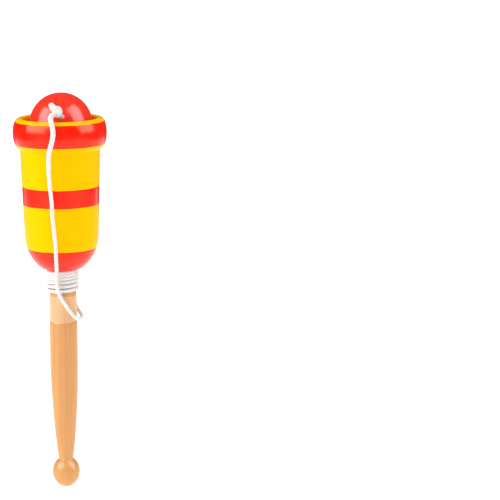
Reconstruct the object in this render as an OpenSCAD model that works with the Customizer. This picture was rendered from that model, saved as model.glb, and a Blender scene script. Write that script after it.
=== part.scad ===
// Cup and ball toy: a turned and painted wooden cup on a stick, with a ball on a cord.
// The ball sits in the bowl, and the cord is wound round the neck under the cup.
// The origin is the middle of the grip, on the stick's axis, and the stick points up.

/* [Handle] */
// Diameter of the end knob
knob_d = 16.9; // [12:0.1:17]
// Height from the knob's middle down to its rounded tip
knob_drop = 9.7; // [6:0.1:12]
// Height from the knob's middle up to where its rounding would close
knob_rise = 9.6; // [7:0.1:12]
// Diameter of the small flat left on the tip
tip_flat_d = 4; // [2:0.5:6]
// Diameter of the waist above the knob
waist_d = 9.2; // [6:0.1:11]
// Length of the straight waist
waist_l = 0.6; // [0.5:0.1:5]
// Length of the swelling stretch from the waist to the grip
taper_l = 65.7; // [40:0.1:90]
// Diameter of the straight grip
grip_d = 17.2; // [17:0.1:20]
// Length of the straight grip
grip_l = 16; // [10:0.5:30]
// Length of the plain stretch between the grip and the lower scribed line
collar_l = 5; // [2:0.1:10]
// Diameter of the band between the scribed lines
band_d = 16.8; // [15.5:0.1:18]
// Length of the band between the scribed lines
band_l = 15.8; // [8:0.1:25]
// Width of a scribed line
scribe_w = 0.9; // [0.4:0.1:1.5]
// Depth of a scribed line
scribe_depth = 0.5; // [0.2:0.1:0.8]
// Diameter of the neck that the cord is wound on
neck_d = 15.2; // [13:0.1:16]
// Length of the neck, up to the cup
neck_l = 16.8; // [14:0.1:30]
// Diameter of the tenon in the cup
tenon_d = 11; // [8:0.1:12]
// Length of the tenon
tenon_l = 22; // [12:0.5:35]
// Chamfer on the tenon's end
tenon_chamfer = 0.8; // [0.2:0.1:1.5]

/* [Cup] */
// Diameter of the underside's edge
foot_d = 24.6; // [24:0.1:32]
// Rise of the underside from the neck to its edge
foot_rise = 0.5; // [0.2:0.1:3]
// Height of the rounded base
base_h = 20.9; // [18:0.1:26]
// Diameter at the bottom of the wall
wall_low_d = 45; // [38:0.1:48]
// Diameter at the top of the wall, under the rim
wall_top_d = 48.6; // [47:0.1:52]
// Height of the wall
wall_h = 53.2; // [40:0.1:80]
// Diameter of the rim at its widest
rim_d = 57; // [54:0.1:58]
// Height of the rounding under the rim
rim_under_h = 9.9; // [6:0.1:14]
// Height of the rim's straight side
rim_side_h = 0.4; // [0.2:0.1:6]
// Height of the rounding over the rim
rim_over_h = 8.5; // [5:0.1:10]
// Diameter where the rounding meets the flat top
rim_top_d = 50.4; // [48:0.1:53]
// Diameter of the bowl
bowl_d = 44.5; // [42:0.1:46]
// Depth of the bowl, down to its flat floor
bowl_depth = 23.5; // [18:0.1:32]
// Rounding of the bowl's lip
lip_round = 0.8; // [0.3:0.1:1.2]

/* [Ball] */
// Diameter of the ball
ball_d = 38.4; // [36:0.1:40]
// Distance that the ball lies to the right of the cup's axis
ball_shift = 0.8; // [0:0.1:1]
// Turn of the cord's hole in the ball round the cup's axis, from the right-hand side
ball_hole_turn = -95; // [-110:1:-60]
// Angle of the cord's hole in the ball above the level
ball_hole_rise = 25; // [20:1:40]

/* [Cord] */
// Diameter of the cord
cord_d = 2; // [1.6:0.1:2]
// Depth of the holes that the cord's ends are glued in
hole_depth = 8; // [5:0.5:12]
// Climb of the winding in one turn
wind_pitch = 2.3; // [2.3:0.05:3]
// Distance from the cup's underside down to the middle of the top turn
wind_top_gap = 1.4; // [1.4:0.05:3]
// Distance from the upper scribed line up to the lowest turn, at least
wind_bottom_gap = 1; // [1:0.1:4]
// Angle round the neck where the top turn leaves it
wind_end = 20; // [0:1:40]
// Radius of the knot under the cup
neck_knot_r = 1.6; // [1.3:0.1:1.6]
// Distance that the knot under the cup stands out from the winding's line
neck_knot_stand = 2.6; // [2.6:0.1:3.2]
// Length of the loose tail of the knot under the cup
neck_tail_l = 5; // [3:0.5:8]
// Radius of the knot on the ball
ball_knot_r = 2.2; // [1.8:0.1:2.3]
// Length of the loose tail of the knot on the ball
ball_tail_l = 10; // [6:0.5:12]

/* [Fits] */
// Gap all round the tenon, for glue
tenon_clear = 0.05; // [0.02:0.01:0.2]
// Gap between the tenon's end and the bottom of its socket
socket_gap = 0.5; // [0.2:0.1:2]
// Gap between the ball and the bowl's floor
ball_clear = 0.3; // [0.1:0.05:0.5]
// Gap between the winding and the neck
wind_clear = 0.2; // [0.1:0.05:0.4]
// Gap all round the cord in its holes
hole_clear = 0.2; // [0.1:0.05:0.3]
// Gap between the knot on the ball and the ball
knot_clear = 0.2; // [0.1:0.05:0.5]

/* [Hidden] */

ROUND_FN = 96;
ARC_STEPS = 14;
WIND_SIDES = 6;
WIND_RINGS = 24;
CORD_SIDES = 8;
CURVE_STEPS = 2;

YELLOW = [1.0, 0.83, 0.02];
RED = [0.93, 0.13, 0.07];
WOOD = [0.93, 0.68, 0.42];
COTTON = [0.96, 0.95, 0.92];

// Heights along the stick, from the grip's middle
z_grip_top = grip_l / 2;
z_grip_low = -grip_l / 2;
z_taper = z_grip_low - taper_l;
z_waist = z_taper - waist_l;
z_knob = z_waist - knob_rise * sqrt(1 - pow(waist_d / knob_d, 2));
z_line_low = z_grip_top + collar_l;
z_line_high = z_line_low + band_l;
z_cup = z_line_high + neck_l;

// Heights up the cup
z_wall = z_cup + base_h;
z_rim_side = z_wall + wall_h + rim_under_h;
z_rim_over = z_rim_side + rim_side_h;
z_top = z_rim_over + rim_over_h;
z_floor = z_top - bowl_depth;
socket_r = tenon_d / 2 + tenon_clear;
z_socket = z_cup + tenon_l + socket_gap;

ball_at = [ball_shift, 0, z_floor + ball_clear + ball_d / 2];
ball_knot_out = ball_d / 2 + knot_clear + ball_knot_r;
hole_d = cord_d + 2 * hole_clear;

// The loose tails: the ball's leans back over it to the left, the neck's points out to the back
BALL_TAIL_TURN = -122;
BALL_TAIL_RISE = 53;
NECK_TAIL_TURN = 100;
NECK_TAIL_RISE = -25;

// The winding climbs to the right across the front, and its top end runs straight to the knot
// under the cup
WIND_START = 90;
wind_r = neck_d / 2 + wind_clear + cord_d / 2;
wind_turns = floor((neck_l - wind_top_gap - wind_bottom_gap) / wind_pitch);
wind_angle = 360 * wind_turns + wind_end - WIND_START;
wind_steps = ceil(wind_angle * WIND_RINGS / 360);
z_wind_top = z_cup - wind_top_gap;
z_wind_low = z_wind_top - wind_pitch * wind_angle / 360;
wind_lead = sqrt(pow(wind_r + neck_knot_stand, 2) - pow(wind_r, 2));
neck_knot_at = wind_r * outward(wind_end) + wind_lead * onward(wind_end) + [0, 0, z_wind_top];
hole_top = foot_height(norm([neck_knot_at.x, neck_knot_at.y])) + hole_depth;

// Where the cord leaves the bottom of the winding, heading right
loop_start = wind_r * outward(WIND_START) - cord_d * onward(WIND_START) + [0, 0, z_wind_low];
loop_lead = loop_start - cord_d * onward(WIND_START);

// The slack loop under the winding, then up the front to the bottom of the hanging stretch
LOOP_ROUTE = [
    [5.8, 8.9, 30.0], [6.8, 8.9, 27.6], [7.2, 8.8, 25.0], [7.8, 8.2, 22.6],
    [9.0, 6.8, 20.4], [10.3, 4.6, 18.4], [11.2, 1.8, 16.8], [11.4, -1.4, 15.6],
    [10.8, -4.6, 14.9], [9.7, -7.2, 15.2], [8.3, -8.9, 16.5], [6.6, -9.9, 18.6],
    [4.6, -10.5, 21.5], [2.5, -10.9, 24.8], [0.4, -11.2, 28.2], [-1.3, -11.3, 31.8],
    [-2.4, -11.3, 35.6], [-3.0, -11.5, 39.4], [-3.4, -12.2, 42.6], [-3.5, -13.9, 45.1],
    [-3.5, -16.4, 47.9], [-3.6, -19.2, 51.5], [-3.7, -21.4, 55.6], [-3.8, -22.9, 59.9],
    [-4.0, -24.3, 64.5], [-4.3, -25.7, 69.2],
    [-4.7, -27.2, 73.9], [-5.1, -28.2, 78.6], [-5.5, -29.0, 82.9], [-5.6, -29.3, 85.5], [-5.6, -29.3, 87.5]
];
// The stretch that hangs beside the cup
RUN_ROUTE = [
    [-5.6, -29.3, 87.6], [-5.6, -29.3, 89.6], [-6.0, -29.4, 94.7], [-6.5, -29.4, 99.8],
    [-6.9, -29.3, 105.3], [-7.1, -29.2, 110.9], [-7.0, -29.3, 116.0], [-7.0, -29.3, 118.0]
];
// Up over the rim to the knot on the ball
END_ROUTE = [
    [-7.0, -29.3, 118.1], [-6.8, -29.3, 120.1], [-5.8, -29.5, 124.1], [-4.7, -29.8, 128.1],
    [-4.1, -29.9, 131.7], [-4.2, -29.6, 134.9], [-4.8, -28.7, 138.1], [-5.3, -27.0, 140.3],
    [-5.4, -24.8, 141.3], [-4.6, -22.7, 142.3], [-3.1, -21.0, 143.2], [-1.5, -19.9, 143.6]
];

// Points on an ellipse about a centre, from one angle to another
function arc(centre, rx, rz, from, to, steps = ARC_STEPS) = [
    for (i = [0:steps])
        let (a = from + (to - from) * i / steps)
        centre + [rx * cos(a), rz * sin(a)]
];

// Radius of the arc that starts level with a side and draws in by drop over a length
function swell_r(drop, length) = (drop * drop + length * length) / (2 * drop);

// Height of the cup's underside at a distance from the axis
function foot_height(r) = z_cup + foot_rise * (r - neck_d / 2) / (foot_d / 2 - neck_d / 2);

function unit(v) = v / norm(v);
function outward(angle) = [cos(angle), sin(angle), 0];
function onward(angle) = [-sin(angle), cos(angle), 0];

// A point on the smooth curve between b and c, with a and d as its neighbours
function curve_point(a, b, c, d, t) = 0.5 * (2 * b + (c - a) * t + (2 * a - 5 * b + 4 * c - d) * t * t
    + (3 * b - a - 3 * c + d) * t * t * t);

// A smooth curve through a route's points
function smooth(p, steps = CURVE_STEPS) = [
    for (i = [0:len(p) - 2])
        for (k = [0:steps - 1])
            curve_point(p[max(i - 1, 0)], p[i], p[i + 1], p[min(i + 2, len(p) - 1)], k / steps),
    p[len(p) - 1]
];

// The way that a line points at each of its points, with the ends' own ways given
function headings(p, first, last) = [
    for (i = [0:len(p) - 1])
        i == 0 ? unit(first) : i == len(p) - 1 ? unit(last) : unit(p[i + 1] - p[i - 1])
];

// A side direction carried along the headings without twisting
function carried(v, heading) = unit(v - (v * heading) * heading);
function sides_along(t) = [
    for (i = 0, n = carried([t[0].z, 0, 1 - t[0].z], t[0]);
         i < len(t);
         i = i + 1, n = i < len(t) ? carried(n, t[i]) : n) n
];

// The length of a line
function length_of(p) = [for (i = [1:len(p) - 1]) norm(p[i] - p[i - 1])] * [for (i = [1:len(p) - 1]) 1];

// The points of a tube's rings
function ring_points(centres, across, up, sides, d) = [
    for (i = [0:len(centres) - 1])
        for (k = [0:sides - 1])
            let (a = 360 * k / sides)
            centres[i] + d / 2 * (cos(a) * across[i] + sin(a) * up[i])
];

// A tube's faces, all triangles, with both ends closed
function tube_faces(rings, sides) = let (last = (rings - 1) * sides) concat(
    [for (i = [0:rings - 2]) for (k = [0:sides - 1])
        [i * sides + k, (i + 1) * sides + k, (i + 1) * sides + (k + 1) % sides]],
    [for (i = [0:rings - 2]) for (k = [0:sides - 1])
        [i * sides + k, (i + 1) * sides + (k + 1) % sides, i * sides + (k + 1) % sides]],
    [for (k = [1:sides - 2]) [0, k, k + 1]],
    [for (k = [1:sides - 2]) [last, last + k + 1, last + k]]
);

// A free stretch of the cord along a route
module cord_along(route) {
    line = smooth(route);
    heading = headings(line, route[1] - route[0], route[len(route) - 1] - route[len(route) - 2]);
    across = sides_along(heading);
    up = [for (i = [0:len(line) - 1]) cross(heading[i], across[i])];
    polyhedron(ring_points(line, across, up, CORD_SIDES, cord_d), tube_faces(len(line), CORD_SIDES));
}

// The winding's line: a straight end, the turns and a straight end that reaches into the knot
wind_angles = [for (i = [0:wind_steps]) WIND_START + wind_angle * i / wind_steps];
wind_line = concat(
    [loop_start],
    [for (a = wind_angles)
        wind_r * outward(a) + [0, 0, z_wind_low + wind_pitch * (a - WIND_START) / 360]],
    [neck_knot_at - neck_knot_r / 2 * onward(wind_end)]
);
wind_across = concat(
    [outward(WIND_START)], [for (a = wind_angles) outward(a)], [outward(wind_end)]
);
wind_up = [for (p = wind_line) [0, 0, -1]];
wind_points = ring_points(wind_line, wind_across, wind_up, WIND_SIDES, cord_d);

// The least gap between neighbouring turns, measured on the winding's own points
wind_gap = min([
    for (i = [0:len(wind_line) - WIND_RINGS - 4])
        for (j = [WIND_RINGS - 3:WIND_RINGS + 3])
            for (k = [0:WIND_SIDES - 1])
                for (m = [0:WIND_SIDES - 1])
                    norm(wind_points[i * WIND_SIDES + k] - wind_points[(i + j) * WIND_SIDES + m])
]);
echo(winding_turns = wind_angle / 360, winding_least_gap_mm = wind_gap);
echo(winding_mm = length_of(wind_line),
     loop_mm = length_of(smooth(concat([loop_start, loop_lead], LOOP_ROUTE))),
     hanging_mm = length_of(smooth(RUN_ROUTE)),
     end_mm = length_of(smooth(END_ROUTE)));

// The cup's section, from the socket round the outside and over the lip to the bowl's floor
function cup_section() = let (
    base_angle = acos(foot_d / wall_low_d),
    base_rz = (base_h - foot_rise) / sin(base_angle)
) concat(
    [[0, z_socket], [socket_r, z_socket], [socket_r, z_cup], [neck_d / 2, z_cup]],
    arc([0, z_wall], wall_low_d / 2, base_rz, -base_angle, 0),
    arc([wall_top_d / 2, z_rim_side], (rim_d - wall_top_d) / 2, rim_under_h, -90, 0),
    arc([rim_top_d / 2, z_rim_over], (rim_d - rim_top_d) / 2, rim_over_h, 0, 90),
    arc([bowl_d / 2 + lip_round, z_top - lip_round], lip_round, lip_round, 90, 180, 6),
    [[bowl_d / 2, z_floor], [0, z_floor]]
);

// The handle's section, from the tip up to the tenon's end
function handle_section() = let (
    tip_angle = acos(tip_flat_d / knob_d),
    taper_r = swell_r((grip_d - waist_d) / 2, taper_l),
    taper_angle = asin(taper_l / taper_r)
) concat(
    [[0, z_knob - knob_drop * sin(tip_angle)]],
    arc([0, z_knob], knob_d / 2, knob_drop, -tip_angle, 0),
    arc([0, z_knob], knob_d / 2, knob_rise, 0, acos(waist_d / knob_d)),
    arc([grip_d / 2 - taper_r, z_grip_low], taper_r, taper_r, -taper_angle, 0, 2 * ARC_STEPS),
    [
        [grip_d / 2, z_line_low - scribe_w / 2],
        [band_d / 2 - scribe_depth, z_line_low],
        [band_d / 2, z_line_low + scribe_w / 2],
        [band_d / 2, z_line_high - scribe_w / 2],
        [neck_d / 2 - scribe_depth, z_line_high],
        [neck_d / 2, z_line_high + scribe_w / 2],
        [neck_d / 2, z_cup],
        [tenon_d / 2, z_cup],
        [tenon_d / 2, z_cup + tenon_l - tenon_chamfer],
        [tenon_d / 2 - tenon_chamfer, z_cup + tenon_l],
        [0, z_cup + tenon_l]
    ]
);

// Puts its children in the frame of the ball's hole, which points along X from the ball's middle
module at_ball_hole() {
    translate(ball_at) rotate([0, -ball_hole_rise, ball_hole_turn]) children();
}

// A knot's lump with its loose tail
module knot(r, tail_l, tail_turn, tail_rise) {
    sphere(r = r, $fn = ROUND_FN);
    rotate([0, 90 - tail_rise, tail_turn]) cylinder(d = cord_d, h = tail_l, $fn = ROUND_FN);
}

module cup() {
    color(YELLOW) difference() {
        rotate_extrude($fn = ROUND_FN) polygon(cup_section());
        translate([neck_knot_at.x, neck_knot_at.y, z_cup - 1])
            cylinder(d = hole_d, h = hole_top - z_cup + 1, $fn = ROUND_FN);
    }
}

module handle() {
    color(WOOD) rotate_extrude($fn = ROUND_FN) polygon(handle_section());
}

module ball() {
    color(RED) difference() {
        translate(ball_at) sphere(d = ball_d, $fn = ROUND_FN);
        at_ball_hole()
            translate([ball_d / 2 - hole_depth, 0, 0])
                rotate([0, 90, 0])
                    cylinder(d = hole_d, h = hole_depth + 1, $fn = ROUND_FN);
    }
}

module ball_knot() {
    color(COTTON) at_ball_hole() {
        translate([ball_knot_out, 0, 0])
            knot(ball_knot_r, ball_tail_l, BALL_TAIL_TURN, BALL_TAIL_RISE);
        translate([ball_d / 2 - hole_depth + hole_clear, 0, 0])
            rotate([0, 90, 0])
                cylinder(d = cord_d, h = hole_depth + knot_clear, $fn = ROUND_FN);
    }
}

module neck_knot() {
    color(COTTON) {
        translate(neck_knot_at) {
            knot(neck_knot_r, neck_tail_l, NECK_TAIL_TURN, NECK_TAIL_RISE);
            cylinder(d = cord_d, h = hole_top - hole_clear - z_wind_top, $fn = ROUND_FN);
        }
    }
}

module cord_winding() {
    color(COTTON) polyhedron(wind_points, tube_faces(len(wind_line), WIND_SIDES));
}

module cord_loop() {
    color(COTTON) cord_along(concat([loop_start, loop_lead], LOOP_ROUTE));
}

module cord_run() {
    color(COTTON) cord_along(RUN_ROUTE);
}

module cord_end() {
    color(COTTON) cord_along(END_ROUTE);
}

cup();
handle();
ball();
ball_knot();
neck_knot();
cord_winding();
cord_loop();
cord_run();
cord_end();
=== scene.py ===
"""Cup and ball toy dressed for its picture: turned, painted and lacquered wood with a twisted cotton cord.

Sizes in the classes are millimetres in the part's frame, and every mesh is written in metres.
"""

import logging
import math
from dataclasses import dataclass, field
from enum import Enum
from typing import Mapping, Sequence, Union

import bpy
import numpy as np
from mathutils import Matrix, Quaternion, Vector


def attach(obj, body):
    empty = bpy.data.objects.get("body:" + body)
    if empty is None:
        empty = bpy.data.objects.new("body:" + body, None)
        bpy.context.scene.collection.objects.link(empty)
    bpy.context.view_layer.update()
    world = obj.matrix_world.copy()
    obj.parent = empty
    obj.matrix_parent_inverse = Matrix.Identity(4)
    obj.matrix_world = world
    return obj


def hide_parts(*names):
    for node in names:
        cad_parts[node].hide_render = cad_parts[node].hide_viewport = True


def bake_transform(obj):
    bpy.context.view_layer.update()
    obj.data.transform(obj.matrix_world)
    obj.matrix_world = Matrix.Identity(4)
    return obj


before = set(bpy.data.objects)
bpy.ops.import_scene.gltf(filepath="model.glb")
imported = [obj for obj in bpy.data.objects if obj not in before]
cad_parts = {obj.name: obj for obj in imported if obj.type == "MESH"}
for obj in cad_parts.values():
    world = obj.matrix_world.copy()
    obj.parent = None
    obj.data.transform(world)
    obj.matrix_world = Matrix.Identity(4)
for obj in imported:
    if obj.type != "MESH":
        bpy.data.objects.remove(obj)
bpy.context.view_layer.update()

LOG = logging.getLogger("cup_and_ball")
MM = 0.001
Colour = tuple[float, float, float]
Point = tuple[float, float, float]
Span = tuple[float, float]
Socket = bpy.types.NodeSocket
Wire = Union[Socket, float, Sequence[float]]
Key = Union[str, int]
# The values that a cord's surface carries for its finish
YARN = ("groove", "strand", "along")
# Directions that no cord or fibre runs along, to find a first side from
PATH_HINT: Point = (0.3, 0.2, 0.93)
HAIR_HINT: Point = (0.31, 0.2, 0.93)


class Body(Enum):
    """The moving bodies that the pieces ride on."""

    STICK = "stick"
    HANGING = "hanging_cord"
    BALL = "ball_on_cord"


class Slot(Enum):
    """The record's finishes."""

    CUP = "cup_paint"
    BALL = "ball_paint"
    WOOD = "handle_wood"
    COTTON = "cord_cotton"


# Curves and surfaces


def ellipse(
    centre: Sequence[float], rx: float, rz: float, start: float, end: float, steps: int = 24
) -> np.ndarray:
    """Points centre + (rx cos a, rz sin a) for an angle a that runs evenly from start to end.

    Args:
        centre: The ellipse's middle, as radius and height.
        rx: Half width.
        rz: Half height.
        start: First angle in degrees.
        end: Last angle in degrees.
        steps: Number of spans.

    Returns:
        An array of radius and height.
    """
    a = np.radians(np.linspace(start, end, steps + 1))
    return np.column_stack((centre[0] + rx * np.cos(a), centre[1] + rz * np.sin(a)))


def swell_radius(drop: float, length: float) -> float:
    """Radius (drop² + length²) / (2 drop) of an arc that starts level and draws in by drop."""
    return (drop * drop + length * length) / (2 * drop)


def resampled(line: np.ndarray, step: float) -> np.ndarray:
    """The same line with its points spaced evenly by length.

    Args:
        line: Points of any dimension.
        step: Spacing, to the nearest that divides the length.

    Returns:
        The evenly spaced points.
    """
    gaps = np.linalg.norm(np.diff(line, axis=0), axis=1)
    along = np.concatenate(([0.0], np.cumsum(gaps)))
    keep = np.concatenate(([True], gaps > 1e-9))
    count = max(2, int(round(along[-1] / step)) + 1)
    places = np.linspace(0.0, along[-1], count)
    return np.column_stack([np.interp(places, along[keep], line[keep, k]) for k in range(line.shape[1])])


def softened(line: np.ndarray, sigma: float) -> np.ndarray:
    """An evenly spaced line averaged with a bell-shaped weight, so that corners become small rounds.

    Args:
        line: Evenly spaced points.
        sigma: Width of the weight, in points.

    Returns:
        The softened line, with its two ends where they were.
    """
    reach = int(math.ceil(3 * sigma))
    weight = np.exp(-0.5 * (np.arange(-reach, reach + 1) / sigma) ** 2)
    weight /= weight.sum()
    head = 2 * line[0] - line[reach:0:-1]
    tail = 2 * line[-1] - line[-2:-reach - 2:-1]
    padded = np.vstack((head, line, tail))
    return np.column_stack([np.convolve(padded[:, k], weight, "valid") for k in range(line.shape[1])])


def eased(line: np.ndarray, step: float, sigma: float) -> np.ndarray:
    """The line with even spacing and softened corners."""
    return softened(resampled(line, step), sigma)


def through(points: np.ndarray, steps: int = 12) -> np.ndarray:
    """The smooth cubic through points whose slope at each is half the step between its neighbours.

    Args:
        points: Points to pass through.
        steps: Spans between two points.

    Returns:
        The curve's points.
    """
    padded = np.vstack((points[:1], points, points[-1:]))
    a, b, c, d = padded[:-3], padded[1:-2], padded[2:-1], padded[3:]
    t = np.linspace(0.0, 1.0, steps, endpoint=False)[None, :, None]
    a, b, c, d = (p[:, None, :] for p in (a, b, c, d))
    curve = 0.5 * (2 * b + (c - a) * t + (2 * a - 5 * b + 4 * c - d) * t**2 + (3 * b - a - 3 * c + d) * t**3)
    return np.vstack((curve.reshape(-1, points.shape[1]), points[-1:]))


@dataclass
class Surface:
    """A mesh in the making: vertices in millimetres, faces, and values on the vertices."""

    vertices: np.ndarray
    faces: list[list[int]]
    values: dict[str, np.ndarray] = field(default_factory=dict)

    def piece(
        self, name: str, material: bpy.types.Material, slot: Slot, sharp: float = 40.0
    ) -> bpy.types.Object:
        """Puts the surface into the scene as an object at the origin.

        Args:
            name: The piece's name.
            material: Its finish.
            slot: The record's finish that it stands for; not used.
            sharp: Angle in degrees above which an edge stays crisp.

        Returns:
            The new object.
        """
        mesh = bpy.data.meshes.new(name)
        mesh.from_pydata((self.vertices * MM).tolist(), [], self.faces)
        for key, numbers in self.values.items():
            mesh.attributes.new(key, "FLOAT", "POINT").data.foreach_set("value", numbers.astype(np.float32))
        mesh.shade_smooth()
        mesh.set_sharp_from_angle(angle=math.radians(sharp))
        mesh.materials.append(material)
        mesh.validate()
        piece = bpy.data.objects.new(name, mesh)
        bpy.context.scene.collection.objects.link(piece)
        return piece


def joined(parts: Sequence[Surface]) -> Surface:
    """Several surfaces as one, with the same values on each."""
    starts = np.cumsum([0] + [len(part.vertices) for part in parts])
    faces = [[int(start) + i for i in face] for start, part in zip(starts, parts) for face in part.faces]
    values = {key: np.concatenate([part.values[key] for part in parts]) for key in parts[0].values}
    return Surface(np.vstack([part.vertices for part in parts]), faces, values)


def strip_faces(rows: int, columns: int) -> np.ndarray:
    """The four-sided faces of a grid of rows that closes on itself across its columns."""
    i, j = np.meshgrid(np.arange(rows - 1), np.arange(columns), indexing="ij")
    k = (j + 1) % columns
    corners = (i * columns + j, i * columns + k, (i + 1) * columns + k, (i + 1) * columns + j)
    return np.stack(corners, -1).reshape(-1, 4)


def closed_faces(rows: int, columns: int) -> list[list[int]]:
    """A tube's faces, closed at each end onto one of the two points that follow its rows of points.

    Args:
        rows: Number of rings.
        columns: Points in each ring.

    Returns:
        The faces of the walls, the first end and the last end.
    """
    j = np.arange(columns)
    k = (j + 1) % columns
    first, end = rows * columns, (rows - 1) * columns
    faces = strip_faces(rows, columns).tolist()
    faces += np.column_stack((np.full(columns, first), k, j)).tolist()
    faces += np.column_stack((np.full(columns, first + 1), end + j, end + k)).tolist()
    return faces


def lathe(profile: np.ndarray, segments: int, turn: Matrix | None = None) -> Surface:
    """The surface (r(s) cos a, r(s) sin a, z(s)) of a profile turned round the axis, closed at both poles.

    Args:
        profile: Radius and height along the profile, from pole to pole.
        segments: Number of spans round the axis.
        turn: A placing of the finished shape, in millimetres.

    Returns:
        The turned surface.
    """
    a = np.linspace(0.0, 2 * math.pi, segments, endpoint=False)
    r, z = profile[1:-1, 0], profile[1:-1, 1]
    rings = np.stack((r[:, None] * np.cos(a), r[:, None] * np.sin(a), np.repeat(z[:, None], segments, 1)), -1)
    poles = np.array([[0.0, 0.0, profile[0, 1]], [0.0, 0.0, profile[-1, 1]]])
    vertices = np.vstack((rings.reshape(-1, 3), poles))
    if turn is not None:
        m = np.array(turn)
        vertices = vertices @ m[:3, :3].T + m[:3, 3]
    return Surface(vertices, closed_faces(len(r), segments))


@dataclass
class Lay:
    """How a cord is twisted: its strands, the length of one full twist, its grooves and its uneven swell."""

    strands: int = 3
    twist: float = 7.5
    groove: float = 0.2
    fullness: float = 0.8
    swell: float = 0.025
    swell_waves: Span = (1.7, 0.63)
    swell_shift: float = 1.1
    sides: int = 24

    def tube(self, path: np.ndarray, radius: np.ndarray, start: float = 0.0) -> Surface:
        """A tube of twisted strands, r (1 - groove + groove lobe) from the path at length s and angle a.

        The lobe is |cos(n w / 2)| to the power of the fullness, where n counts the strands and w is a less
        the twist at s. r is the radius at s times 1 + swell sin(p s) sin(q s + shift), with p and q the waves.

        Args:
            path: Evenly spaced centre points.
            radius: The outside radius at each point.
            start: Length of cord before the path, so that two tubes join strand to strand.

        Returns:
            The tube with closed ends and values for the groove, the strand's angle and the length along.
        """
        across, up = carried_sides(path)
        step = np.linalg.norm(path[1] - path[0])
        along = start + step * np.arange(len(path))
        a = np.linspace(0.0, 2 * math.pi, self.sides, endpoint=False)
        w = a[None, :] - 2 * math.pi * along[:, None] / self.twist
        lobe = np.abs(np.cos(0.5 * self.strands * w)) ** self.fullness
        p, q = self.swell_waves
        swell = 1 + self.swell * np.sin(along * p) * np.sin(along * q + self.swell_shift)
        r = (radius * swell)[:, None] * (1 - self.groove + self.groove * lobe)
        spoke = np.cos(a)[None, :, None] * across[:, None] + np.sin(a)[None, :, None] * up[:, None]
        vertices = np.vstack(((path[:, None] + r[..., None] * spoke).reshape(-1, 3), path[:1], path[-1:]))
        pad = np.array([0.5, 0.5])
        values = {
            "groove": np.concatenate((lobe.ravel(), pad)),
            "strand": np.concatenate((np.sin(w).ravel(), pad)),
            "along": np.concatenate((np.repeat(along, self.sides), along[[0, -1]])),
        }
        return Surface(vertices, closed_faces(len(path), self.sides), values)


def carried_sides(path: np.ndarray) -> tuple[np.ndarray, np.ndarray]:
    """Two directions square to a path at each point, carried from point to point without twisting.

    Args:
        path: Centre points.

    Returns:
        The two unit directions at each point.
    """
    heading = np.gradient(path, axis=0)
    heading /= np.linalg.norm(heading, axis=1)[:, None]
    across = np.empty_like(path)
    side = np.cross(heading[0], PATH_HINT)
    for i, way in enumerate(heading):
        side = side - (side @ way) * way
        side /= np.linalg.norm(side)
        across[i] = side
    return across, np.cross(heading, across)


def hairs(root: np.ndarray, way: np.ndarray, bend: np.ndarray, thickness: float, spans: int = 3) -> Surface:
    """Loose fibres: three-sided spikes, thickness (1 - u) from the line root + u way + u² bend, 0 <= u <= 1.

    Args:
        root: Where each fibre starts.
        way: Its first direction, as long as the fibre.
        bend: How far its end is drawn aside.
        thickness: Half width at the root.
        spans: Rings on each fibre.

    Returns:
        All the fibres as one surface, closed at the roots and tips.
    """
    u = np.arange(spans) / spans
    across = np.cross(way, HAIR_HINT)
    across /= np.linalg.norm(across, axis=1)[:, None]
    up = np.cross(way, across)
    up /= np.linalg.norm(up, axis=1)[:, None]
    a = np.radians((0.0, 120.0, 240.0))
    side = np.cos(a)[None, :, None] * across[:, None] + np.sin(a)[None, :, None] * up[:, None]
    line = root[:, None] + u[None, :, None] * way[:, None] + u[None, :, None] ** 2 * bend[:, None]
    rings = line[:, :, None] + (thickness * (1 - u))[None, :, None, None] * side[:, None]
    each = 3 * spans + 1
    tips = (root + way + bend)[:, None]
    vertices = np.concatenate((rings.reshape(len(root), -1, 3), tips), 1).reshape(-1, 3)
    top = 3 * (spans - 1)
    offset = each * np.arange(len(root))[:, None, None]
    walls = (strip_faces(spans, 3)[None] + offset).reshape(-1, 4).tolist()
    caps = np.array([[0, 2, 1]] + [[top + j, top + (j + 1) % 3, each - 1] for j in range(3)])
    faces = walls + (caps[None] + offset).reshape(-1, 3).tolist()
    values = {key: np.full(len(vertices), float(key == "groove")) for key in YARN}
    return Surface(vertices, faces, values)


# Finishes


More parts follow.
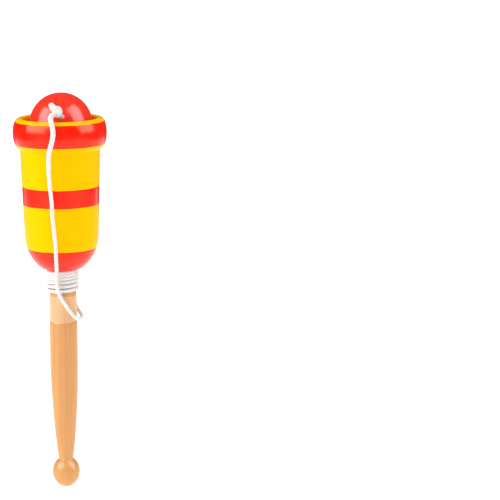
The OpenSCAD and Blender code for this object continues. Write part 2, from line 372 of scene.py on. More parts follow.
class Sheet:
    """A material's node graph, written as calls."""

    def __init__(self, name: str) -> None:
        """Starts a new material of that name."""
        self.material = bpy.data.materials.new(name)
        self.material.use_nodes = True
        self.tree = self.material.node_tree
        self.shader = self.tree.nodes["Principled BSDF"]

    def put(self, kind: str, wires: Mapping[Key, Wire], out: Key = 0, **settings: object) -> Socket:
        """Adds one node.

        Args:
            kind: The node's type.
            wires: What goes into each input, a socket or a value.
            out: The output that is wanted.
            **settings: The node's own options.

        Returns:
            The wanted output.
        """
        node = self.tree.nodes.new(kind)
        for key, value in settings.items():
            setattr(node, key, value)
        for key, value in wires.items():
            self.wire(node.inputs[key], value)
        return node.outputs[out]

    def wire(self, target: Socket, value: Wire) -> None:
        """Links a socket to an input, or sets the input's value."""
        if isinstance(value, bpy.types.NodeSocket):
            self.tree.links.new(value, target)
        else:
            target.default_value = value

    def shade(self, **wires: Wire) -> None:
        """Wires the shader's inputs, with underscores for the spaces in their names."""
        for key, value in wires.items():
            self.wire(self.shader.inputs[key.replace("_", " ")], value)

    def sum(self, operation: str, a: Wire, b: Wire = 0.0, clamp: bool = False) -> Socket:
        """One arithmetic step on two numbers."""
        return self.put("ShaderNodeMath", {0: a, 1: b}, operation=operation, use_clamp=clamp)

    def blend(self, share: Wire, a: Wire, b: Wire, mode: str = "MIX") -> Socket:
        """A mix of two colours by a share from 0 to 1."""
        a, b = (v if isinstance(v, bpy.types.NodeSocket) else (*v, 1.0) for v in (a, b))
        return self.put("ShaderNodeMix", {0: share, 6: a, 7: b}, 2, data_type="RGBA", blend_type=mode)

    def spread(
        self, value: Wire, low: float, high: float, to_low: float = 0.0, to_high: float = 1.0
    ) -> Socket:
        """A number's range carried smoothly to another range."""
        wires = {0: value, 1: low, 2: high, 3: to_low, 4: to_high}
        return self.put("ShaderNodeMapRange", wires, interpolation_type="SMOOTHSTEP")

    def within(self, level: Wire, span: Span, soft: float) -> Socket:
        """One between two heights in millimetres, falling to nothing over a soft edge."""
        low, high = span
        above = self.spread(level, (low - soft) * MM, (low + soft) * MM)
        below = self.spread(level, (high - soft) * MM, (high + soft) * MM, 1.0, 0.0)
        return self.sum("MULTIPLY", above, below)

    def place(self) -> Socket:
        """The point on the piece, in metres."""
        return self.put("ShaderNodeTexCoord", {}, "Object")

    def part(self, vector: Socket, axis: str) -> Socket:
        """One coordinate of a point."""
        return self.put("ShaderNodeSeparateXYZ", {0: vector}, axis)

    def stretched(self, vector: Socket, scale: Sequence[float], turn: Sequence[float] = (0, 0, 0)) -> Socket:
        """A point scaled along each axis after a turn."""
        return self.put("ShaderNodeMapping", {"Vector": vector, "Scale": scale, "Rotation": turn})

    def noise(self, vector: Socket, scale: float, detail: float = 2.0, rough: float = 0.5) -> Socket:
        """Cloudy values about a half."""
        wires = {"Vector": vector, "Scale": scale, "Detail": detail, "Roughness": rough}
        return self.put("ShaderNodeTexNoise", wires)

    def bump(self, height: Wire, depth_mm: float, share: float = 1.0, under: Socket | None = None) -> Socket:
        """A surface normal from a height, with its depth in millimetres."""
        wires: dict[Key, Wire] = {"Strength": share, "Distance": depth_mm * MM, "Height": height}
        if under is not None:
            wires["Normal"] = under
        return self.put("ShaderNodeBump", wires)


@dataclass(frozen=True)
class Lacquer:
    """Thick gloss paint over turned wood, in one colour or with bands of a second colour round the axis."""

    name: str
    ground: Colour
    band: Colour = (0.0, 0.0, 0.0)
    bands: tuple[Span, ...] = ()
    edge: float = 0.12
    waver: float = 0.5
    bowl_r: float = 0.0
    bowl_z: float = 0.0
    gloss: float = 0.2
    shine: float = 0.34
    dull: float = 0.03
    tint: Colour = (1.0, 1.0, 1.0)
    coat: float = 0.3

    @staticmethod
    def mottled(s: Sheet, cloud: Socket, colour: Colour, share: float, depth: float) -> Socket:
        """A colour with clouds of its own deeper tone."""
        return s.blend(s.spread(cloud, 0.3, 0.7, 0.0, share), colour, tuple(depth * c for c in colour))

    def material(self) -> bpy.types.Material:
        """Builds the paint: wavering band edges with a raised lip, faint turning rings and orange peel."""
        s = Sheet(self.name)
        place = s.place()
        x, y, z = (s.part(place, axis) for axis in "XYZ")
        cloud = s.noise(place, scale=55.0, detail=3.0)
        colour = self.mottled(s, cloud, self.ground, 0.35, 0.9)
        rings = s.noise(s.stretched(place, (0.05, 0.05, 1.0)), scale=1500.0, detail=2.0)
        height = s.sum("MULTIPLY", rings, 0.35)
        shine: Wire = self.shine
        if self.bands:
            waver = s.sum("SUBTRACT", s.noise(place, scale=160.0, detail=2.0), 0.5)
            waver = s.sum("MULTIPLY", waver, self.waver * MM)
            level = s.sum("ADD", z, waver)
            red: Wire = 0.0
            for span in self.bands:
                red = s.sum("ADD", s.within(level, span, self.edge), red)
            out = s.sum("SQRT", s.sum("ADD", s.sum("MULTIPLY", x, x), s.sum("MULTIPLY", y, y)))
            beyond = s.sum("GREATER_THAN", out, self.bowl_r * MM)
            outside = s.sum("MAXIMUM", beyond, s.sum("LESS_THAN", z, self.bowl_z * MM))
            red = s.sum("MULTIPLY", red, outside, clamp=True)
            colour = s.blend(red, colour, self.mottled(s, cloud, self.band, 0.4, 0.86))
            height = s.sum("ADD", height, s.sum("MULTIPLY", red, 1.6))
            shine = s.spread(red, 0.0, 1.0, self.dull, self.shine)
        peel = s.noise(place, scale=620.0, detail=1.0)
        normal = s.bump(height, depth_mm=0.03, share=0.6)
        normal = s.bump(peel, depth_mm=0.02, share=0.2, under=normal)
        smear = s.noise(place, scale=90.0, detail=4.0, rough=0.6)
        s.shade(
            Base_Color=colour,
            Roughness=s.spread(smear, 0.25, 0.75, self.gloss - 0.05, self.gloss + 0.09),
            Normal=normal,
            Coat_Weight=s.sum("MULTIPLY", shine, self.coat),
            Coat_Roughness=0.12,
            Specular_IOR_Level=shine,
            Specular_Tint=(*self.tint, 1.0),
        )
        return s.material


@dataclass(frozen=True)
class ClearWood:
    """Pale close-grained wood, turned and lacquered, with a paler band that the lacquer leaves thin."""

    name: str
    pale: Colour
    dark: Colour
    bare: Colour
    band: Span
    lines: tuple[float, ...]
    line_w: float

    def material(self) -> bpy.types.Material:
        """Builds the wood: growth rings round a heart off the axis, streaks, flecks and turning marks."""
        s = Sheet(self.name)
        place = s.place()
        z = s.part(place, "Z")
        bent = s.noise(s.stretched(place, (1.0, 1.0, 0.12)), scale=60.0, detail=2.0)
        heart = s.stretched(place, (1.0, 1.0, 0.03), (0.02, 0.03, 0.0))
        heart = s.put("ShaderNodeVectorMath", {0: heart, 1: (0.021, 0.013, 0.0)}, operation="ADD")
        ring = s.put(
            "ShaderNodeTexWave",
            {"Vector": heart, "Scale": 95.0, "Distortion": 2.2, "Detail": 2.0, "Detail Scale": 1.2},
            "Fac", wave_type="RINGS", rings_direction="Z", wave_profile="SAW",
        )
        streak = s.noise(s.stretched(place, (1.0, 1.0, 0.035)), scale=420.0, detail=4.0, rough=0.6)
        fleck = s.noise(s.stretched(place, (1.0, 1.0, 0.14)), scale=1500.0, detail=2.0, rough=0.7)
        fleck = s.spread(fleck, 0.62, 0.74)
        share = s.sum("MULTIPLY", s.spread(ring, 0.1, 0.95), 0.2)
        share = s.sum("ADD", share, s.spread(streak, 0.35, 0.72, 0.0, 0.32))
        share = s.sum("ADD", share, s.spread(bent, 0.35, 0.7, 0.0, 0.28), clamp=True)
        colour = s.blend(share, self.pale, self.dark)
        colour = s.blend(s.sum("MULTIPLY", fleck, 0.28), colour, tuple(0.72 * c for c in self.dark))
        level = s.sum("ADD", z, s.sum("MULTIPLY", s.sum("SUBTRACT", bent, 0.5), 0.6 * MM))
        inside = s.within(level, self.band, 0.3)
        bare = s.blend(s.sum("MULTIPLY", share, 0.35), self.bare, self.dark)
        colour = s.blend(s.sum("MULTIPLY", inside, 0.85), colour, bare)
        # Painted highlight: each scribed line is painted paler than the bare wood.
        scribe_highlight: Wire = 0.0
        for line in self.lines:
            off = s.sum("ABSOLUTE", s.sum("SUBTRACT", z, line * MM))
            on = s.spread(off, 0.05 * self.line_w * MM, 0.45 * self.line_w * MM, 1.0, 0.0)
            scribe_highlight = s.sum("ADD", on, scribe_highlight)
        colour = s.blend(s.sum("MULTIPLY", scribe_highlight, 0.5), colour, tuple(1.08 * c for c in self.bare))
        marks = s.noise(s.stretched(place, (0.06, 0.06, 1.0)), scale=1300.0, detail=3.0)
        normal = s.bump(marks, depth_mm=0.03, share=0.55)
        pores = s.sum("SUBTRACT", streak, s.sum("MULTIPLY", fleck, 0.8))
        normal = s.bump(pores, depth_mm=0.035, share=0.5, under=normal)
        s.shade(
            Base_Color=colour,
            Roughness=s.spread(streak, 0.3, 0.75, 0.28, 0.42),
            Normal=normal,
            Coat_Weight=0.18,
            Coat_Roughness=0.2,
            Specular_IOR_Level=0.4,
        )
        return s.material


@dataclass(frozen=True)
class Cotton:
    """Soft white cotton yarn, with grey-beige painted shade in the grooves between its strands."""

    name: str
    white: Colour
    shade: Colour

    def material(self) -> bpy.types.Material:
        """Builds the yarn: fibres that lean along each strand, painted shade in the grooves and a soft sheen.
        """
        s = Sheet(self.name)
        place = s.place()
        groove, strand, along = (s.put("ShaderNodeAttribute", {}, "Fac", attribute_name=key) for key in YARN)
        strand, along = s.sum("MULTIPLY", strand, 9.0), s.sum("MULTIPLY", along, 1.4)
        lie = s.put("ShaderNodeCombineXYZ", {0: strand, 1: along})
        fibre = s.noise(lie, scale=1.6, detail=4.0, rough=0.7)
        fuzz = s.noise(place, scale=2600.0, detail=2.0)
        # Painted shade: the yarn turns towards the shade colour in the grooves between strands; the fibre
        # noise adds random tone along the fibres.
        share = s.spread(groove, 0.0, 0.6, 0.65, 0.0)
        share = s.sum("ADD", share, s.spread(fibre, 0.45, 0.8, 0.0, 0.3), clamp=True)
        normal = s.bump(fibre, depth_mm=0.16, share=0.7)
        normal = s.bump(fuzz, depth_mm=0.07, share=0.5, under=normal)
        s.shade(
            Base_Color=s.blend(share, self.white, self.shade),
            Roughness=0.9,
            Normal=normal,
            Sheen_Weight=0.25,
            Specular_IOR_Level=0.15,
        )
        return s.material


# The toy


@dataclass
class Handle:
    """The turned stick: end knob, waist, swelling grip, scribed band, neck and tenon."""

    knob_d: float = 16.9
    knob_drop: float = 9.7
    knob_rise: float = 9.6
    tip_flat_d: float = 4.0
    waist_d: float = 9.2
    waist_l: float = 0.6
    taper_l: float = 65.7
    grip_d: float = 17.2
    grip_l: float = 16.0
    collar_l: float = 5.0
    band_d: float = 16.8
    band_l: float = 15.8
    scribe_w: float = 0.9
    scribe_depth: float = 0.3
    neck_d: float = 15.2
    neck_l: float = 16.8
    ease_in: Span = (0.05, 0.2)
    ease_up: Span = (2.2, 4.0)
    tenon_d: float = 11.0
    tenon_l: float = 22.0

    @property
    def line_low(self) -> float:
        """Height of the lower scribed line."""
        return self.grip_l / 2 + self.collar_l

    @property
    def line_high(self) -> float:
        """Height of the upper scribed line."""
        return self.line_low + self.band_l

    @property
    def top(self) -> float:
        """Height of the neck's top, where the cup sits."""
        return self.line_high + self.neck_l

    def profile(self) -> np.ndarray:
        """The section from the tip up: knob, swelling grip, scribed band, eased neck and tenon."""
        low = -self.grip_l / 2
        knob_r, waist_r, grip_r = self.knob_d / 2, self.waist_d / 2, self.grip_d / 2
        middle = low - self.taper_l - self.waist_l - self.knob_rise * math.sqrt(1 - (waist_r / knob_r) ** 2)
        tip = math.degrees(math.acos(self.tip_flat_d / self.knob_d))
        radius = swell_radius(grip_r - waist_r, self.taper_l)
        lean = math.degrees(math.asin(self.taper_l / radius))
        w, d = self.scribe_w / 2, self.scribe_depth
        band_r, neck_r, tenon_r = self.band_d / 2, self.neck_d / 2, self.tenon_d / 2
        edge, shoulder = (band_r - inward for inward in self.ease_in)
        foot_low, foot_high = (self.line_high + up for up in self.ease_up)
        end = self.top + self.tenon_l
        ends = [
            (grip_r, self.line_low - w), (band_r - d, self.line_low), (band_r, self.line_low + w),
            (band_r, self.line_high - w), (band_r - d, self.line_high), (edge, self.line_high + w),
            (shoulder, foot_low), (neck_r, foot_high), (neck_r, self.top),
            (tenon_r, self.top), (tenon_r, end), (0.0, end),
        ]
        return np.vstack((
            [(0.0, middle - self.knob_drop * math.sin(math.radians(tip)))],
            ellipse((0.0, middle), knob_r, self.knob_drop, -tip, 0.0),
            ellipse((0.0, middle), knob_r, self.knob_rise, 0.0, math.degrees(math.acos(waist_r / knob_r))),
            ellipse((grip_r - radius, low), radius, radius, -lean, 0.0, 60),
            ends,
        ))

    def build(self) -> bpy.types.Object:
        """Turns the stick, lacquers it and puts it in the node's place."""
        section = eased(self.profile(), step=0.3, sigma=0.7)
        lines = (self.line_low, self.line_high)
        wood = ClearWood(
            "clear_lacquered_wood", pale=(0.672, 0.322, 0.1), dark=(0.56, 0.236, 0.065),
            bare=(0.76, 0.455, 0.245), band=lines, lines=lines, line_w=self.scribe_w,
        )
        piece = lathe(section, segments=96).piece("turned_handle", wood.material(), Slot.WOOD)
        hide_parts("handle")
        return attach(piece, Body.STICK.value)


@dataclass
class Cup:
    """The turned cup: rounded base, leaning wall, heavy rolled rim and the bowl."""

    seat: float = 45.6
    seat_d: float = 15.2
    socket_d: float = 11.1
    socket_l: float = 22.5
    foot_d: float = 24.6
    foot_rise: float = 0.5
    base_h: float = 20.9
    wall_low_d: float = 45.0
    wall_top_d: float = 48.6
    wall_h: float = 53.2
    rim_d: float = 57.0
    rim_under_h: float = 9.9
    rim_side_h: float = 0.4
    rim_over_h: float = 8.5
    rim_top_d: float = 50.4
    bowl_d: float = 44.5
    bowl_depth: float = 23.5
    lip_round: float = 0.8
    lip_yellow: float = 1.2
    bowl_low: float = 112.0
    red_bands: tuple[Span, ...] = ((40.0, 59.0), (85.9, 97.0), (122.8, 136.7))

    def profile(self) -> np.ndarray:
        """The section from the socket round the outside, over the rim and down to the bowl's flat floor."""
        wall = self.seat + self.base_h
        side = wall + self.wall_h + self.rim_under_h
        over = side + self.rim_side_h
        top = over + self.rim_over_h
        floor = top - self.bowl_depth
        lean = math.degrees(math.acos(self.foot_d / self.wall_low_d))
        bulge = (self.base_h - self.foot_rise) / math.sin(math.radians(lean))
        socket_r, bowl_r, lip = self.socket_d / 2, self.bowl_d / 2, self.lip_round
        wall_r, top_r = self.wall_top_d / 2, self.rim_top_d / 2
        under_w, over_w = (self.rim_d - self.wall_top_d) / 2, (self.rim_d - self.rim_top_d) / 2
        roof = self.seat + self.socket_l
        under = [(0.0, roof), (socket_r, roof), (socket_r, self.seat), (self.seat_d / 2, self.seat)]
        return np.vstack((
            under,
            ellipse((0.0, wall), self.wall_low_d / 2, bulge, -lean, 0.0, 40),
            ellipse((wall_r, side), under_w, self.rim_under_h, -90.0, 0.0, 40),
            ellipse((top_r, over), over_w, self.rim_over_h, 0.0, 90.0, 40),
            ellipse((bowl_r + lip, top - lip), lip, lip, 90.0, 180.0, 8),
            [(bowl_r, floor), (0.0, floor)],
        ))

    def build(self) -> bpy.types.Object:
        """Turns the cup, paints it and puts it in the node's place."""
        section = eased(self.profile(), step=0.5, sigma=0.8)
        paint = Lacquer(
            "yellow_and_red_paint", ground=(0.93, 0.5, 0.0), band=(0.9, 0.008, 0.0), bands=self.red_bands,
            bowl_r=self.bowl_d / 2 + self.lip_yellow, bowl_z=self.bowl_low,
            gloss=0.18, shine=0.48, tint=(1.0, 0.82, 0.5), coat=0.12,
        )
        piece = lathe(section, segments=176).piece("turned_cup", paint.material(), Slot.CUP)
        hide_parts("cup")
        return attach(piece, Body.STICK.value)


@dataclass
class Ball:
    """The turned ball with the drilled hole that the cord's end is glued in."""

    diameter: float = 38.4
    middle: Point = (0.8, 0.0, 134.5)
    hole_d: float = 2.4
    hole_depth: float = 8.0
    hole_turn: float = -95.0
    hole_rise: float = 25.0

    def frame(self) -> Matrix:
        """Placing of the hole's frame: X out along the hole, Y to the right and Z up over the ball."""
        turn = Matrix.Rotation(math.radians(self.hole_turn), 4, "Z")
        rise = Matrix.Rotation(math.radians(-self.hole_rise), 4, "Y")
        return Matrix.Translation(self.middle) @ turn @ rise

    def build(self) -> bpy.types.Object:
        """Turns the ball about its hole's axis, paints it and puts it in the node's place."""
        r, hole = self.diameter / 2, self.hole_d / 2
        mouth = math.degrees(math.asin(hole / r))
        shell = ellipse((0.0, 0.0), r, r, -90.0, 90.0 - mouth, 150)
        bottom = r - self.hole_depth
        profile = np.vstack((shell, [(hole, bottom), (0.0, bottom)]))
        profile[0, 0] = 0.0
        section = eased(profile, step=0.4, sigma=0.6)
        turn = self.frame() @ Matrix.Rotation(math.radians(90.0), 4, "Y")
        paint = Lacquer("red_paint", ground=(0.93, 0.03, 0.01), gloss=0.2, shine=0.5)
        piece = lathe(section, segments=128, turn=turn).piece("turned_ball", paint.material(), Slot.BALL)
        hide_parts("ball")
        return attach(piece, Body.BALL.value)


@dataclass
class Fray:
    """A cut end's loose fibres: a brush that spreads from a root along a way."""

    root: Point
    way: Point
    count: int = 70
    seed: int = 7
    spread: float = 0.7
    flatness: Point = (0.6, 1.0, 1.0)
    splay: float = 0.35
    lengths: Span = (0.75, 1.2)
    bend: float = 0.25
    thickness: float = 0.14

    def surface(self) -> Surface:
        """The fibres, scattered at random but always alike."""
        draw = np.random.default_rng(self.seed)
        each = (self.count, 3)
        root = np.array(self.root) + draw.normal(0.0, self.spread, each) * self.flatness
        way = np.array(self.way) + draw.normal(0.0, self.splay, each)
        way *= draw.uniform(*self.lengths, (self.count, 1))
        return hairs(root, way, draw.normal(0.0, self.bend, each), self.thickness)


@dataclass
class Knot:
    """An overhand knot: a trefoil opened at one lobe, with a loose tail and a stem into its hole."""

    name: str
    placing: np.ndarray
    size: float
    depth: float
    radius: float
    stretch: float
    lean: float
    tail: tuple[Point, ...]
    stem: tuple[Point, ...]
    lay: Lay
    fray: Fray | None = None
    opened: Span = (10.0, 268.0)
    step: float = 0.2
    fat: float = 0.3
    fat_place: Span = (4.0, 2.5)
    tip: float = 0.9
    stem_share: float = 0.92

    def path(self) -> np.ndarray:
        """The opened trefoil, then the tail.

        The trefoil is x = -depth sin 3t, y = size (sin t + 2 sin 2t) / 3, z = size (cos t - 2 cos 2t) / 3,
        drawn out by stretch along the line that leans by an angle from y.
        """
        t = np.radians(np.linspace(*self.opened, 40))
        y = self.size * (np.sin(t) + 2 * np.sin(2 * t)) / 3
        z = self.size * (np.cos(t) - 2 * np.cos(2 * t)) / 3
        c, d = math.cos(math.radians(self.lean)), math.sin(math.radians(self.lean))
        draw = (self.stretch - 1) * (c * y + d * z)
        loops = np.column_stack((-self.depth * np.sin(3 * t), y + draw * c, z + draw * d))
        return eased(through(np.vstack((loops, self.tail))), self.step, sigma=2.0)

    def build(self, cotton: bpy.types.Material, body: Body, node: str) -> bpy.types.Object:
        """Ties the knot and puts it in a node's place.

        Args:
            cotton: The cord's finish.
            body: The body that it rides on.
            node: The node that it stands for.

        Returns:
            The knot's object.
        """
        path = self.path()
        left = np.arange(len(path))[::-1] * self.step
        away, width = self.fat_place
        fat = 1 + self.fat * np.exp(-((left - away) / width) ** 2)
        knot = self.lay.tube(path, self.radius * fat * np.sqrt(np.clip(left / self.tip, 0.03, 1.0)))
        stem_path = resampled(np.array(self.stem), 0.25)
        stem = self.lay.tube(stem_path, np.full(len(stem_path), self.stem_share * self.radius))
        whole = joined([knot, stem] + ([self.fray.surface()] if self.fray else []))
        whole.vertices = whole.vertices @ self.placing[:3, :3].T + self.placing[:3, 3]
        piece = whole.piece(self.name, cotton, Slot.COTTON, 75.0)
        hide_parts(node)
        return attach(piece, body.value)


@dataclass
class Cord:
    """The cord: from the cup's knot, down the winding, round the loop, up the front and over the rim."""

    diameter: float = 2.0
    shown_d: float = 2.4
    loose_d: float = 3.1
    loose_low: float = 98.0
    loose_high: float = 134.0
    neck_r: float = 7.6
    clear: float = 0.2
    pitch: float = 1.7
    loosen: float = 0.105
    top: float = 44.95
    wander: float = 0.12
    wander_turn: float = 0.83
    wander_start: float = 0.6
    turns: int = 6
    start_angle: float = 90.0
    end_angle: float = 20.0
    knot_stand: float = 2.6
    knot_drop: float = 0.75
    split: float = 87.5
    front: float = -20.0
    step: float = 0.25
    lay: Lay = field(default_factory=Lay)
    loop: tuple[Point, ...] = (
        (5.8, 8.9, 30.0), (6.8, 8.9, 27.0), (7.3, 8.8, 24.0), (7.9, 8.2, 21.2),
        (8.9, 6.9, 18.9), (10.2, 4.7, 17.2), (11.2, 1.8, 16.0), (11.3, -1.4, 15.2),
        (10.3, -4.6, 14.9), (8.7, -7.2, 15.3), (7.0, -8.9, 16.7), (5.3, -9.9, 18.8),
        (3.3, -10.5, 21.7), (1.2, -10.9, 25.0), (-0.8, -11.2, 28.4), (-2.4, -11.3, 32.0),
        (-3.3, -11.3, 35.6), (-3.7, -11.5, 39.4), (-3.8, -12.2, 42.6), (-3.7, -13.9, 45.1),
        (-3.5, -16.4, 47.9), (-3.6, -19.2, 51.5), (-3.7, -21.4, 55.6), (-3.8, -22.9, 59.9),
        (-4.0, -24.3, 64.5), (-4.3, -25.7, 69.2),
        (-4.7, -27.2, 73.9), (-5.1, -28.2, 78.6), (-5.5, -29.0, 82.9), (-5.6, -29.3, 85.5),
    )
    run: tuple[Point, ...] = (
        (-5.6, -29.3, 89.6), (-6.0, -29.4, 94.7), (-6.5, -29.4, 99.8),
        (-6.9, -29.3, 105.3), (-7.1, -29.2, 110.9), (-7.0, -29.3, 116.0),
    )
    end: tuple[Point, ...] = (
        (-6.8, -29.3, 120.1), (-5.8, -29.5, 124.1), (-4.7, -29.8, 128.1),
        (-4.1, -29.9, 131.7), (-4.2, -29.6, 134.9), (-4.8, -28.7, 138.1), (-5.3, -27.0, 140.3),
        (-5.4, -24.8, 141.3), (-4.6, -22.7, 142.3), (-3.1, -21.0, 143.2), (-1.5, -19.9, 143.6),
    )

    @property
    def wind_r(self) -> float:
        """Radius of the winding, to the middle of the cord."""
        return self.neck_r + self.clear + self.diameter / 2

    def knot_place(self) -> np.ndarray:
        """Middle of the knot under the cup, on the tangent where the top turn leaves the neck."""
        a = math.radians(self.end_angle)
        lead = math.sqrt((self.wind_r + self.knot_stand) ** 2 - self.wind_r**2)
        x = self.wind_r * math.cos(a) - lead * math.sin(a)
        y = self.wind_r * math.sin(a) + lead * math.cos(a)
        return np.array((x, y, self.top - self.knot_drop))

    def path(self) -> np.ndarray:
        """The whole line: a straight lead, the winding, then the route.

        After u turns the winding is at (r cos a, r sin a, top - pitch u - loosen u² + wander sin(b a + c)),
        with b and c the wander's turn and start, so its lower turns lie further apart.
        """
        whole = 360.0 * self.turns + self.end_angle - self.start_angle
        a = np.radians(np.linspace(self.start_angle + whole, self.start_angle, 720))
        u = (math.radians(self.start_angle + whole) - a) / (2 * math.pi)
        height = self.top - self.pitch * u - self.loosen * u**2
        height += self.wander * np.sin(self.wander_turn * a + self.wander_start)
        helix = np.column_stack((self.wind_r * np.cos(a), self.wind_r * np.sin(a), height))
        low = helix[-1]
        lead = np.array([low + (reach * self.diameter, 0.0, 0.0) for reach in (1, 2)])
        free = through(np.vstack((lead, self.loop, self.run, self.end)))
        line = np.vstack((self.knot_place()[None], helix, free))
        return eased(line, self.step, sigma=2.5)

    def build(
        self, cotton: bpy.types.Material
    ) -> tuple[bpy.types.Object, bpy.types.Object, np.ndarray, np.ndarray]:
        """Twists the cord in two lengths that join strand to strand beside the cup.

        Args:
            cotton: The cord's finish.

        Returns:
            The lower and the upper length, and the line of each in millimetres.
        """
        line = self.path()
        cut = int(np.argmax((line[:, 2] >= self.split) & (line[:, 1] < self.front)))
        low, high = line[:cut + 1], line[cut:]
        step = float(np.linalg.norm(np.diff(line, axis=0), axis=1).mean())
        ease = np.clip((line[:, 2] - self.loose_low) / (self.loose_high - self.loose_low), 0.0, 1.0)
        ease = ease * ease * (3 - 2 * ease)
        whole = self.lay.tube(line, 0.5 * (self.shown_d + (self.loose_d - self.shown_d) * ease))
        lower = self.length_of(whole, 0, cut, low)
        upper = self.length_of(whole, cut, len(line) - 1, high)
        first = lower.piece("cord_wound", cotton, Slot.COTTON, 75.0)
        second = upper.piece("cord_hanging", cotton, Slot.COTTON, 75.0)
        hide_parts("cord_winding", "cord_loop")
        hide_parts("cord_run", "cord_end")
        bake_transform(first)
        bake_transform(second)
        LOG.info("cord: %.0f mm wound and %.0f mm hanging", step * (len(low) - 1), step * (len(high) - 1))
        return first, second, low, high

    def length_of(self, whole: Surface, first: int, last: int, line: np.ndarray) -> Surface:
        """One length of the whole tube, from ring to ring, with its ends closed.

        Args:
            whole: The whole tube.
            first: First ring.
            last: Last ring.
            line: The length's centre points.

        Returns:
            The length as a surface of its own.
        """
        sides = self.lay.sides
        keep = slice(first * sides, (last + 1) * sides)
        rows = last - first + 1
        vertices = np.vstack((whole.vertices[keep], line[:1], line[-1:]))
        values = {key: np.concatenate((v[keep], v[keep][[0, -1]])) for key, v in whole.values.items()}
        return Surface(vertices, closed_faces(rows, sides), values)


@dataclass
class CordSet:
    """The cord with its two knots."""

    cord: Cord
    ball: Ball
    knot_out: float = 21.6
    knot_aside: Point = (0.0, -1.1, 1.1)
    hole_top: float = 53.8

    def build(self) -> list[bpy.types.Object]:
        """Makes the cord and ties both knots.

        Returns:
            The cord's two lengths and the two knots.
        """
        cotton = Cotton("twisted_cotton", white=(0.75, 0.742, 0.727), shade=(0.53, 0.48, 0.42)).material()
        lower, upper, low, high = self.cord.build(cotton)
        at_ball = np.array(self.ball.frame() @ Matrix.Translation((self.knot_out, 0.0, 0.0)))
        at_ball = at_ball @ np.array(Matrix.Translation(self.knot_aside))
        ball_knot = Knot(
            "ball_knot_tied", at_ball, size=2.0, depth=0.7, radius=1.6, stretch=1.75, lean=-43.0,
            tail=((-0.3, -2.0, 2.3), (-0.9, -2.6, 3.5), (-1.6, -3.3, 4.5), (-2.1, -3.8, 5.3)),
            stem=((0.0, 1.1, -1.1), (-9.6, 1.1, -1.1)), lay=self.cord.lay,
            fray=Fray(root=(0.0, 2.3, -2.1), way=(0.1, 1.9, -1.5)),
        ).build(cotton, Body.BALL, "ball_knot")
        spot = self.cord.knot_place()
        away = math.atan2(spot[1], spot[0])
        at_neck = np.eye(4)
        at_neck[:3, 0] = (math.cos(away), math.sin(away), 0.0)
        at_neck[:3, 1] = (-math.sin(away), math.cos(away), 0.0)
        at_neck[:3, 3] = spot
        neck_knot = Knot(
            "neck_knot_tied", at_neck, size=0.85, depth=0.6, radius=0.9, stretch=1.0, lean=0.0,
            tail=((0.6, -1.0, 0.4), (1.6, -1.0, -0.4), (2.8, -0.6, -1.3), (4.0, 0.0, -2.0)),
            stem=((0.0, 0.0, 0.0), (0.0, 0.0, self.hole_top - spot[2])), lay=self.cord.lay,
        ).build(cotton, Body.STICK, "neck_knot")
        self.declare(low)
        self.declare(high)
        return [lower, upper, ball_knot, neck_knot]

    def declare(self, line: np.ndarray) -> None:
        """Works out the true length of a length of cord, which nothing then uses."""
        length = float(np.linalg.norm(np.diff(line, axis=0), axis=1).sum()) * MM


# The picture


def facing(place: Sequence[float], target: Sequence[float]) -> Quaternion:
    """The turn that points a light or a camera from its place to a target."""
    return (Vector(target) - Vector(place)).to_track_quat("-Z", "Y")


@dataclass(frozen=True)
class Light:
    """A square light turned to the toy: its place and size in metres and its power in watts.

    A card shows only in gloss, and the other lights light only what isn't glossy.
    """

    name: str
    place: Point
    size: Span
    watts: float
    card: bool = False

    def hang(self, target: Point) -> None:
        """Hangs the light and turns it to a target."""
        lamp = bpy.data.lights.new(self.name, "AREA")
        lamp.shape = "RECTANGLE"
        lamp.size, lamp.size_y = self.size
        lamp.energy = self.watts
        box = bpy.data.objects.new(self.name, lamp)
        box.location = self.place
        box.visible_glossy = self.card
        box.visible_diffuse = not self.card
        box.rotation_euler = facing(self.place, target).to_euler()
        bpy.context.scene.collection.objects.link(box)


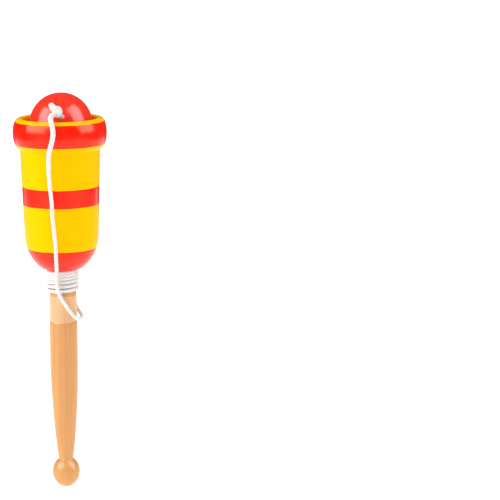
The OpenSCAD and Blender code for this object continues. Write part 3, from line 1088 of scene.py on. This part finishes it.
@dataclass
class Studio:
    """A white seamless room with soft lights all round, two cards that only gloss shows, and the camera."""

    eye: Point = (0.0, -1.5, 0.327)
    aim: Point = (0.1152, 0.0, 0.0547)
    roll: float = 0.327
    lens: float = 179.0
    sensor: float = 36.0
    far: float = 50.0
    toy: Point = (0.0, 0.0, 0.06)
    floor_z: float = -0.0919
    floor_size: float = 12.0
    floor_grey: Colour = (0.6, 0.6, 0.6)
    glow: Span = (0.8, 1.1)
    glow_reach: Span = (1.2, 2.5)
    surround: float = 0.1
    mirrored: float = 0.8
    mirror_drop: float = 0.0002
    lights: tuple[Light, ...] = (
        Light("left_softbox", (-1.3, -0.4, 0.8), (0.95, 0.95), 19.0),
        Light("right_softbox", (1.15, -0.27, 0.85), (0.8, 1.25), 10.5),
        Light("left_card", (-1.12, -0.55, 0.8), (1.45, 1.3), 35.0, card=True),
        Light("right_card", (1.06, -0.36, 0.8), (1.0, 1.42), 23.0, card=True),
        Light("front_fill", (-0.3, -1.9, 1.1), (2.0, 2.0), 13.5),
        Light("back_fill", (0.3, 1.9, 1.1), (2.0, 2.0), 16.0),
        Light("top_fill", (0.1, 0.0, 1.9), (1.6, 1.6), 14.0),
    )

    def build(self) -> None:
        """Lays the floor, hangs the lights and sets the camera."""
        self.floor()
        self.room()
        for light in self.lights:
            light.hang(self.toy)
        self.camera()

    def sheet(self, name: str, size: float, z: float) -> bpy.types.Object:
        """A square white sheet that glows a little, and more where it is too far off to be lit.

        Args:
            name: Its name.
            size: Half its width in metres.
            z: Its height.

        Returns:
            The sheet, as part of the stage.
        """
        corners = [(x, y, z) for x, y in ((-size, -size), (size, -size), (size, size), (-size, size))]
        mesh = bpy.data.meshes.new(name)
        mesh.from_pydata(corners, [], [[0, 1, 2, 3]])
        s = Sheet("white_" + name)
        out = s.put("ShaderNodeVectorMath", {0: s.place()}, "Value", operation="LENGTH")
        s.shade(
            Base_Color=(*self.floor_grey, 1.0),
            Roughness=0.9,
            Emission_Color=(1.0, 1.0, 1.0, 1.0),
            Emission_Strength=s.spread(out, *self.glow_reach, *self.glow),
        )
        mesh.materials.append(s.material)
        sheet = bpy.data.objects.new(name, mesh)
        bpy.context.scene.collection.objects.link(sheet)
        return sheet

    def floor(self) -> None:
        """A wide white floor that lights the toy from below, and the nearer part of it that gloss mirrors."""
        self.sheet("floor", self.floor_size, self.floor_z).visible_glossy = False
        near = self.sheet("near_floor", self.mirrored, self.floor_z - self.mirror_drop)
        near.visible_camera = near.visible_diffuse = near.visible_shadow = False

    def room(self) -> None:
        """Even white light from all round."""
        world = bpy.data.worlds.new("white_room")
        world.use_nodes = True
        light = world.node_tree.nodes["Background"]
        light.inputs["Color"].default_value = (1.0, 1.0, 1.0, 1.0)
        light.inputs["Strength"].default_value = self.surround
        bpy.context.scene.world = world
        bpy.context.scene.view_settings.view_transform = "Standard"

    def camera(self) -> None:
        """A long lens at the picture's height, aimed at the middle of the frame and rolled a little."""
        lens = bpy.data.cameras.new("camera")
        lens.lens = self.lens
        lens.sensor_width = self.sensor
        lens.clip_end = self.far
        camera = bpy.data.objects.new("camera", lens)
        camera.location = self.eye
        look = facing(self.eye, self.aim).to_matrix().to_4x4()
        camera.rotation_euler = (look @ Matrix.Rotation(math.radians(-self.roll), 4, "Z")).to_euler()
        bpy.context.scene.collection.objects.link(camera)
        bpy.context.scene.camera = camera


def main() -> None:
    """Builds the toy and its picture, piece by piece."""
    logging.basicConfig(level=logging.INFO, format="%(name)s: %(message)s")
    ball = Ball()
    pieces = [Cup().build(), Handle().build(), ball.build()]
    pieces += CordSet(Cord(), ball).build()
    Studio().build()
    for piece in pieces:
        LOG.info("%s: %d faces", piece.name, len(piece.data.polygons))


if __name__ == "__main__":
    main()
